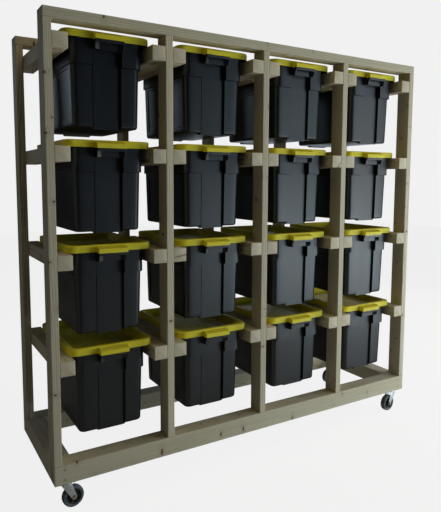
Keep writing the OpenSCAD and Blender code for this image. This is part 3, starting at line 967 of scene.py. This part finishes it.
@dataclass
class Lid:
    """A snap-on lid: skirt with latch tabs, rounded rim, and a deep well with a creased floor.

    Sizes are in millimetres from the middle of the lid and from the underside of its skirt.
    """

    half: tuple[float, float] = (210, 294)
    height: float = 34
    radius: float = 42
    wall: float = 2.6
    bend: float = 5.5
    well: tuple[tuple[float, float], ...] = (
        (19, 0), (21, -0.9), (24, -3.6), (50, -29.6), (54, -31.7), (58, -32),
    )
    floor_from: float = 66
    tab: float = 72
    tab_out: float = 34
    tab_drop: float = 4
    tab_section: tuple[tuple[float, float], ...] = ((-5, 1), (15, 1), (17.5, 0.96), (27, 0.0))
    crease: tuple[float, float] = (95, 100)
    pad: tuple[float, float] = (107, 148)
    ridges: tuple[float, ...] = (-110, -85, -60, -35, -10, 15)
    soft: float = 0.7

    def lines(self, half: float, inner: list[float]) -> np.ndarray:
        """Grid lines across the lid, close together near both edges.

        Args:
            half: half of the lid's size in this direction.
            inner: places of the lines on the floor of the well.

        Returns:
            The sorted places.
        """
        edge = np.array([0, 0.6, 1.7, 3.3, 5.5, 12, 19, 21, 24, 33, 42, 50, 54, 58, 64])
        return np.sort(np.concatenate([edge - half, half - edge, inner]))

    def top(self, x: np.ndarray, y: np.ndarray, inset: np.ndarray) -> np.ndarray:
        """Height of the upper face.

        The outer edge rounds over along a quarter circle. The well is a broken line over the
        distance from the edge. The crease, pad and ridges are ramps across times ramps along.

        Args:
            x: places across.
            y: places along.
            inset: distance in from the lid's edge.

        Returns:
            The heights.
        """
        fall = np.maximum(self.bend - inset, 0)
        height = self.height - self.bend + np.sqrt(self.bend**2 - fall**2)
        places, drops = zip(*self.well)
        height = height + np.interp(inset, places, drops)
        length = self.half[1] - self.floor_from
        height = height - 2.2 * between(x, *self.crease, self.soft) * between(np.abs(y), -1, length, 3)
        height = height + 1.0 * between(x, *self.pad, self.soft) * between(np.abs(y), -1, length, 3)
        for ridge in self.ridges:
            along = between(np.abs(y), 60, length, 3)
            height = height + 0.8 * between(x, ridge - 3, ridge + 3, self.soft) * along
        return height

    def tab_push(self, place: np.ndarray, z: np.ndarray, inset: float) -> np.ndarray:
        """How far the latch tab stands out of the skirt.

        Args:
            place: places along the end of the lid.
            z: heights.
            inset: 0 for the outside, or the wall's thickness for the inside.

        Returns:
            The distances: the tab's section over height, times a ramp at each cheek.
        """
        heights, shares = zip(*self.tab_section)
        section = np.interp(z + inset, heights, shares)
        return self.tab_out * section * between(place, inset - self.tab, self.tab - inset, self.soft)

    def skin(self) -> Skin:
        """The lid's surface: an upper face, the skirt and an under face, closed all round.

        A plain grid becomes nested rounded rectangles. On the ring at a distance s from the
        edge the corner radius is radius - 0.3 s, and a point that lies e short of the ring's
        square corner moves to the angle 45 (1 - e / radius) degrees on the arc.

        Returns:
            The skin, in metres.
        """
        half_x, half_y = self.half
        cheeks = [sign * (self.tab - inset) for sign in (-1, 1) for inset in (0, self.wall)]
        flanks = [ridge + side for ridge in self.ridges for side in (-3, 3)]
        across = lines_for([*self.crease, *self.pad, *cheeks, *flanks], self.soft, [])
        across = across[np.abs(across) < half_x - 64.5]
        length = half_y - self.floor_from
        along = lines_for([-length, length, -60, 60], 3, [0, -110, 110, -160, 160, -200, 200])
        along = along[np.abs(along) < half_y - 64.5]
        x, y = np.meshgrid(self.lines(half_x, across.tolist()), self.lines(half_y, along.tolist()))
        from_x, from_y = half_x - np.abs(x), half_y - np.abs(y)
        inset, beyond = np.minimum(from_x, from_y), np.maximum(from_x, from_y)
        radius = np.maximum(self.radius - 0.3 * inset, 8)
        short = np.minimum((beyond - inset) / radius, 1)
        angle = math.pi / 4 * (1 - short)
        along_side, off_side = radius * np.sin(angle), radius * np.cos(angle)
        on_arc = short < 1
        beside_x = from_x <= from_y
        centre_x, centre_y = half_x - inset - radius, half_y - inset - radius
        arc_x = centre_x + np.where(beside_x, off_side, along_side)
        arc_y = centre_y + np.where(beside_x, along_side, off_side)
        px = np.sign(x) * np.where(on_arc, arc_x, np.abs(x))
        py = np.sign(y) * np.where(on_arc, arc_y, np.abs(y))
        upper = np.stack([px, py, self.top(x, y, inset)], axis=-1)
        rows, columns = x.shape
        index = np.arange(rows * columns).reshape(rows, columns)
        edge = np.concatenate([index[0, :-1], index[:-1, -1], index[-1, :0:-1], index[:0:-1, 0]])
        ring_x, ring_y = px.ravel()[edge], py.ravel()[edge]
        ring = np.stack([ring_x, ring_y], axis=-1)
        core = np.array([half_x - self.radius, half_y - self.radius])
        normal = np.sign(ring) * np.maximum(np.abs(ring) - core, 0)
        normal = normal / np.linalg.norm(normal, axis=1, keepdims=True)
        on_end = np.abs(y.ravel()[edge]) > half_y - 0.01
        place = np.where(on_end, x.ravel()[edge], half_x)
        foot = -self.tab_drop * between(place, -self.tab, self.tab, self.soft)

        def skirt(level: float, inset: float, tuck: float) -> np.ndarray:
            """A ring of the skirt at a height, sunk by the tab's foot towards the bottom."""
            z = level + foot * np.clip(1 - level / 10, 0, 1)
            out = self.tab_push(place, z, inset) - inset - tuck
            return np.stack([ring_x + out * normal[:, 0], ring_y + out * normal[:, 1], z], axis=-1)

        rings = [skirt(level, 0.0, 0.0) for level in (27, 24, 21, 19, 17.5, 16.2, 15, 10, 5, 0.8)]
        rings.append(skirt(0.0, 0.0, 0.6))
        rings += [skirt(level, self.wall, 0.0) for level in (0.0, 8.0, 12.4, 14.9, 20.0, 24.4)]
        shift = np.interp(inset, [0, 8, 18, 26, 50, 56], [self.wall, self.wall, 0.5, -1.4, -1.4, 0])
        draw = 1 - shift[..., None] / np.array([half_x, half_y])
        under = np.concatenate([upper[..., :2] * draw, upper[..., 2:] - self.wall], axis=-1)
        points = np.concatenate([upper.reshape(-1, 3), *rings, under.reshape(-1, 3)])

        top_faces = lattice(rows, columns, False)
        start = rows * columns
        around = len(edge)
        loops = [edge] + [start + k * around + np.arange(around) for k in range(len(rings))]
        under_start = start + len(rings) * around
        loops.append(edge + under_start)
        faces = top_faces.tolist()
        for above, below in zip(loops[:-1], loops[1:]):
            faces += np.stack([above, below, np.roll(below, -1), np.roll(above, -1)], axis=-1).tolist()
        faces += (top_faces[:, ::-1] + under_start).tolist()
        return Skin(points * MM, [tuple(face) for face in faces])


@dataclass
class ToteBank:
    """All totes and lids: one of each is worked out and set in every bay."""

    columns: int = 4
    rows: int = 4
    lid_gap: float = 0.3 * MM
    tote: Tote = field(default_factory=Tote)
    lid: Lid = field(default_factory=Lid)

    def build(self) -> None:
        """Builds a tote and a lid for every column and row."""
        black, yellow = TOTE_PLASTIC.material(), LID_PLASTIC.material()
        tote, lid = self.tote.whole(), self.lid.skin()
        for column in range(1, self.columns + 1):
            for row in range(1, self.rows + 1):
                place = f"c{column}_r{row}"
                low, high = box_of(f"tote_{place}")
                middle = (low + high) / 2
                rest = high[2] - self.tote.rim_top * MM
                shell = built(f"tote_shell_{place}", tote.shifted(middle[0], middle[1], rest), black)
                placed(shell, f"tote_{place}", [f"tote_{place}"])
                closed = lid.shifted(middle[0], middle[1], rest + self.lid_gap)
                cover = built(f"lid_cover_{place}", closed, yellow)
                placed(cover, f"lid_{place}", [f"lid_{place}"])


# ---- Casters ----


class Corner(Enum):
    """The four casters, by the end of their node names."""

    FRONT_LEFT = "fl"
    FRONT_RIGHT = "fr"
    BACK_LEFT = "bl"
    BACK_RIGHT = "br"


def joint_named(name: str) -> dict[str, object]:
    """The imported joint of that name."""
    return next(joint for joint in frame["joints"] if joint["name"] == name)


@dataclass
class Caster:
    """A swivel caster: pressed fork with a ball race, hub with a bearing cap, and a tyre.

    Sizes are in millimetres. The wheel is drawn round its own axle, which runs along Y, and
    the fork is drawn from the swivel axis, trailing along X.
    """

    tyre_radius: float = 52.5
    tyre_half: float = 16
    hub_radius: float = 38
    boss_half: float = 18
    bore: float = 5.05
    pin_bore: float = 6.1
    spoke_count: int = 6
    eye: float = 12.5
    fork_top: float = 134
    leg_gap: float = 18.5
    leg: float = 3
    steps: int = 64

    def lathe(self, profile: list[tuple[float, float]]) -> Skin:
        """Turns a closed profile of (radius, place along the axle) round the axle.

        Args:
            profile: corners of the section, in millimetres.

        Returns:
            The ring-shaped skin, facing outwards where the profile runs anticlockwise with
            the radius to the right and the axle up.
        """
        outline = np.array(profile)
        turn = np.linspace(0, 2 * math.pi, self.steps, endpoint=False)[:, None]
        x = outline[None, :, 0] * np.cos(turn)
        z = outline[None, :, 0] * np.sin(turn)
        y = np.broadcast_to(outline[None, :, 1], x.shape)
        return loop_round(np.stack([x, y, z], axis=-1) * MM)

    def tyre(self) -> Skin:
        """A tyre with a crowned tread, a groove round each shoulder and stepped side walls."""
        r, half, hub = self.tyre_radius, self.tyre_half, self.hub_radius
        side = [
            (hub, -half + 1.5), (hub + 2, -half + 0.2), (r - 9, -half + 0.2), (r - 8, -half + 1.4),
            (r - 6.5, -half + 1.4),
        ]
        turn = np.linspace(-0.5 * math.pi, 0, 5)
        shoulder = [(r - 5.5 + 4.6 * math.cos(a), -half + 5.4 + 4.6 * math.sin(a)) for a in turn]
        groove = [(r - 0.8, -half + 6), (r - 2.2, -half + 6.5), (r - 2.2, -half + 7.5), (r - 0.4, -half + 8)]
        half_profile = side + shoulder + groove + [(r - 0.05, -half / 4)]
        return self.lathe(half_profile + [(radius, -y) for radius, y in reversed(half_profile)])

    def hub(self) -> Skin:
        """A hub with a dished web, a rolled edge and a raised boss round the axle."""
        half, boss, outer = self.tyre_half, self.boss_half, self.hub_radius
        side = [
            (self.bore, -boss), (9.5, -boss), (10.5, -boss + 1), (13, -boss + 3), (15, -6), (17, -5),
            (outer - 9, -5), (outer - 7, -6.5), (outer - 4.5, -half + 2), (outer - 3.5, -half + 0.9),
            (outer - 0.4, -half + 0.9), (outer, -half + 1.6),
        ]
        return self.lathe(side + [(radius, -y) for radius, y in reversed(side)])

    def spokes(self) -> list[Skin]:
        """Six stiffening ribs on each face of the hub's web."""
        skins = []
        for number in range(self.spoke_count):
            turned = np.array(Matrix.Rotation(number * 2 * math.pi / self.spoke_count, 4, "Y"))
            for side in (-1, 1):
                low, high = sorted((side * 4.5, side * (self.tyre_half - 3)))
                rib = Block((13, low, -1.4), (self.hub_radius - 4, high, 1.4), 0.8)
                skins.append(rib.skin().moved(turned))
        return skins

    def leg_outline(self, trail: float, axle: float) -> np.ndarray:
        """Side view of a fork leg: straight to the eye, which is an arc round the axle.

        Args:
            trail: level distance from the swivel axis to the axle.
            axle: height of the axle.

        Returns:
            Points of (x, z), anticlockwise, in millimetres.
        """
        turn = np.linspace(math.radians(-165), math.radians(25), 15)
        round_eye = np.stack([trail + self.eye * np.cos(turn), axle + self.eye * np.sin(turn)], axis=-1)
        top = self.fork_top - 5
        shoulder = [(27, top - 16), (25, top - 5), (21, top), (-18, top), (-21, top - 4), (-20.5, top - 12)]
        return np.concatenate([round_eye, np.array(shoulder)])

    def leg_skin(self, trail: float, axle: float, side: int) -> Skin:
        """One leg of the fork, pressed from strip, with a bead along its edge.

        Args:
            trail: level distance from the swivel axis to the axle.
            axle: height of the axle.
            side: -1 for the leg on -Y, 1 for the leg on +Y.

        Returns:
            The skin, in metres.
        """
        outline = self.leg_outline(trail, axle)
        middle = outline.mean(axis=0)
        rows = []
        for out, draw in ((0, 0.97), (0.5, 1.0), (self.leg - 0.5, 1.0), (self.leg, 0.975)):
            flat = middle + (outline - middle) * draw
            rows.append(np.stack([flat[:, 0], np.full(len(flat), out), flat[:, 1]], axis=-1))
        inner = self.leg_gap if side > 0 else -self.leg_gap - self.leg
        rings = np.array(rows)[:, ::-1] + np.array([0, inner, 0])
        return tube(rings * MM)

    def fork(self, trail: float, axle: float) -> Skin:
        """Two legs under a bridge with a dished swivel head.

        Args:
            trail: level distance from the swivel axis to the axle, in millimetres.
            axle: height of the axle, in millimetres.

        Returns:
            The skin, in metres.
        """
        top = self.fork_top
        half = self.leg_gap + self.leg
        bridge = Block((-21, -half, top - 8), (22, half, top - 4.5), 1.5).skin()
        profile = [(self.pin_bore, 5.2), (19, 5.2), (23, 4.6), (26, 3.2), (27, 1.6), (26.4, 0.4), (25, 0),
                   (20, 0), (18, 0.8), (self.pin_bore, 0.8)]
        head = self.lathe([(radius, top - below) for radius, below in profile])
        upright = np.array([[1, 0, 0, 0], [0, 0, -1, 0], [0, 1, 0, 0], [0, 0, 0, 1]], float)
        legs = [self.leg_skin(trail, axle, side) for side in (-1, 1)]
        return joined([bridge, head.moved(upright), *legs])

    def build(self) -> None:
        """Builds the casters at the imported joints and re-finishes the plates, axles and bolts."""
        zinc, screw = ZINC_STEEL.material(), SCREW_STEEL.material()
        plastic, rubber = WHEEL_HUB.material(), TYRE_RUBBER.material()
        for corner in Corner:
            key = corner.value
            swivel = np.array(joint_named(f"swivel_{key}")["pos_m"])
            axle = np.array(joint_named(f"roll_{key}")["pos_m"])
            reach = axle[:2] - swivel[:2]
            heading = math.atan2(reach[1], reach[0])
            turn = np.array(Matrix.Rotation(heading, 4, "Z"))
            at_wheel, at_swivel = turn.copy(), turn.copy()
            at_wheel[:3, 3] = axle
            at_swivel[:2, 3] = swivel[:2]
            tyre = built(f"tyre_tread_{key}", self.tyre().moved(at_wheel), rubber)
            placed(tyre, f"wheel_{key}", [f"tyre_{key}"])
            hub = built(f"hub_wheel_{key}", joined([self.hub(), *self.spokes()]).moved(at_wheel), plastic)
            placed(hub, f"wheel_{key}", [f"hub_{key}"])
            fork = self.fork(float(np.hypot(*reach)) / MM, axle[2] / MM).moved(at_swivel)
            pressing = built(f"fork_pressing_{key}", fork, zinc)
            placed(pressing, f"caster_{key}", [f"fork_{key}"])
            self.refinish(f"axle_{key}", screw)
        self.refinish("caster_plates", zinc)
        self.refinish("caster_bolts", screw)
        self.refinish("wood_screws", screw)

    def refinish(self, node: str, finish: Material) -> None:
        """Gives a carried-over node a better material."""
        mesh = frame["nodes"][node].data
        mesh.materials.clear()
        mesh.materials.append(finish)
        LOG.info("%s: new finish", node)


# ---- Room ----


@dataclass(frozen=True)
class Lamp:
    """A soft rectangular light: where it stands, what it faces, its size, power and colour."""

    name: str
    place: tuple[float, float, float]
    aim: tuple[float, float, float]
    size: tuple[float, float]
    power: float
    colour: tuple[float, float, float]


@dataclass
class Studio:
    """Pale floor, soft lights and the camera."""

    camera_place: tuple[float, float, float] = (-1.746, -2.777, 1.560)
    heading_deg: float = 31.49
    dip_deg: float = 5.556
    roll_deg: float = 0.268
    lens_mm: float = 38.17
    shift: tuple[float, float] = (-0.0099, -0.0449)
    floor_half: float = 14.0
    floor_glow: float = 0.9
    lamps: tuple[Lamp, ...] = (
        Lamp("right_wall", (4.8, -1.3, 1.3), (0.5, 0, 1.1), (2.4, 2.4), 120, (1.0, 0.92, 0.83)),
        Lamp("low_front", (3.0, -3.0, 0.6), (0.3, 0, 0.9), (2.2, 1.2), 54, (0.76, 0.92, 1.0)),
        Lamp("high_sheen", (4.3, -4.2, 2.7), (0.5, 0, 1.3), (2.6, 2.0), 40, (0.66, 0.86, 1.0)),
        Lamp("back_right", (3.4, 3.8, 1.5), (0, 0, 1.1), (3.0, 2.4), 36, (0.75, 0.85, 1.0)),
        Lamp("top_bounce", (0, -0.8, 4.8), (0, 0, 1.0), (3.0, 2.0), 32, (1.0, 0.85, 0.55)),
        Lamp("left_fill", (-4.6, 0.6, 1.8), (-0.3, 0, 1.1), (3.0, 2.4), 5, (1.0, 1.0, 1.0)),
        Lamp("back_window", (-2.4, 3.4, 2.5), (0, 0, 1.9), (0.7, 0.8), 4, (0.70, 0.85, 1.0)),
    )

    def camera(self) -> None:
        """Sets the camera: heading to the right of +Y, dip below level, and roll."""
        heading, dip, roll = (math.radians(v) for v in (self.heading_deg, self.dip_deg, self.roll_deg))
        level_share = math.cos(dip)
        ahead = Vector((math.sin(heading) * level_share, math.cos(heading) * level_share, -math.sin(dip)))
        level = Vector((math.cos(heading), -math.sin(heading), 0))
        upward = level.cross(ahead)
        right = level * math.cos(roll) + upward * math.sin(roll)
        up = upward * math.cos(roll) - level * math.sin(roll)
        data = bpy.data.cameras.new("camera")
        data.lens = self.lens_mm
        data.shift_x, data.shift_y = self.shift
        data.clip_start, data.clip_end = 0.05, 100.0
        camera = bpy.data.objects.new("camera", data)
        turn = Matrix((right, up, -ahead)).transposed().to_4x4()
        camera.matrix_world = Matrix.Translation(self.camera_place) @ turn
        bpy.context.scene.collection.objects.link(camera)
        bpy.context.scene.camera = camera

    def lamp(self, lamp: Lamp) -> None:
        """Adds a soft rectangular light that faces its aim."""
        data = bpy.data.lights.new(lamp.name, "AREA")
        data.shape = "RECTANGLE"
        data.size, data.size_y = lamp.size
        data.energy = lamp.power
        data.color = lamp.colour
        light = bpy.data.objects.new(lamp.name, data)
        light.location = lamp.place
        light.rotation_mode = "QUATERNION"
        light.rotation_quaternion = (Vector(lamp.aim) - Vector(lamp.place)).to_track_quat("-Z", "Y")
        bpy.context.scene.collection.objects.link(light)

    def floor(self) -> None:
        """A pale floor with a faint mottle."""
        finish = bpy.data.materials.new("Studio floor")
        finish.use_nodes = True
        wiring = Wiring(finish.node_tree)
        shader = finish.node_tree.nodes["Principled BSDF"]
        place = wiring.node("ShaderNodeTexCoord")
        mottle = wiring.noise(place.outputs["Object"], 1.5, 4.0)
        pale = wiring.mixed(mottle, (0.78, 0.78, 0.77, 1), (0.82, 0.82, 0.81, 1))
        wiring.feed(shader.inputs["Base Color"], pale)
        shader.inputs["Roughness"].default_value = 0.8
        glow = wiring.node("ShaderNodeEmission")
        glow.inputs["Color"].default_value = (0.95, 0.95, 0.95, 1)
        path = wiring.node("ShaderNodeLightPath")
        both = wiring.node("ShaderNodeMixShader")
        share = wiring.math("MULTIPLY", path.outputs["Is Camera Ray"], self.floor_glow)
        wiring.feed(both.inputs[0], share)
        wiring.feed(both.inputs[1], shader.outputs[0])
        wiring.feed(both.inputs[2], glow.outputs[0])
        wiring.feed(finish.node_tree.nodes["Material Output"].inputs["Surface"], both.outputs[0])
        half = self.floor_half
        mesh = bpy.data.meshes.new("floor")
        corners = [(-half, -half, 0), (half, -half, 0), (half, half, 0), (-half, half, 0)]
        mesh.from_pydata(corners, [], [(0, 1, 2, 3)])
        mesh.materials.append(finish)
        floor = bpy.data.objects.new("floor", mesh)
        bpy.context.scene.collection.objects.link(floor)

    def build(self) -> None:
        """Sets up camera, floor, lights and background."""
        self.camera()
        self.floor()
        for lamp in self.lamps:
            self.lamp(lamp)
        world = bpy.data.worlds.new("studio")
        world.use_nodes = True
        wiring = Wiring(world.node_tree)
        world.node_tree.nodes.clear()
        seen = wiring.node("ShaderNodeBackground")
        seen.inputs["Color"].default_value = (0.88, 0.88, 0.88, 1)
        seen.inputs["Strength"].default_value = 1.0
        lit = wiring.node("ShaderNodeBackground")
        lit.inputs["Color"].default_value = (0.80, 0.87, 1.0, 1)
        lit.inputs["Strength"].default_value = 0.015
        path = wiring.node("ShaderNodeLightPath")
        both = wiring.node("ShaderNodeMixShader")
        wiring.feed(both.inputs[0], path.outputs["Is Camera Ray"])
        wiring.feed(both.inputs[1], lit.outputs[0])
        wiring.feed(both.inputs[2], seen.outputs[0])
        out = wiring.node("ShaderNodeOutputWorld")
        wiring.feed(out.inputs["Surface"], both.outputs[0])
        bpy.context.scene.world = world
        bpy.context.scene.view_settings.view_transform = "Standard"


def main() -> None:
    """Builds the room, the timber, the totes and the casters."""
    logging.basicConfig(level=logging.INFO, format="%(message)s")
    for group in (pine_group, moulded_group, metal_group):
        group()
    Studio().build()
    TimberFrame().build()
    ToteBank().build()
    Caster().build()


if __name__ == "__main__":
    main()
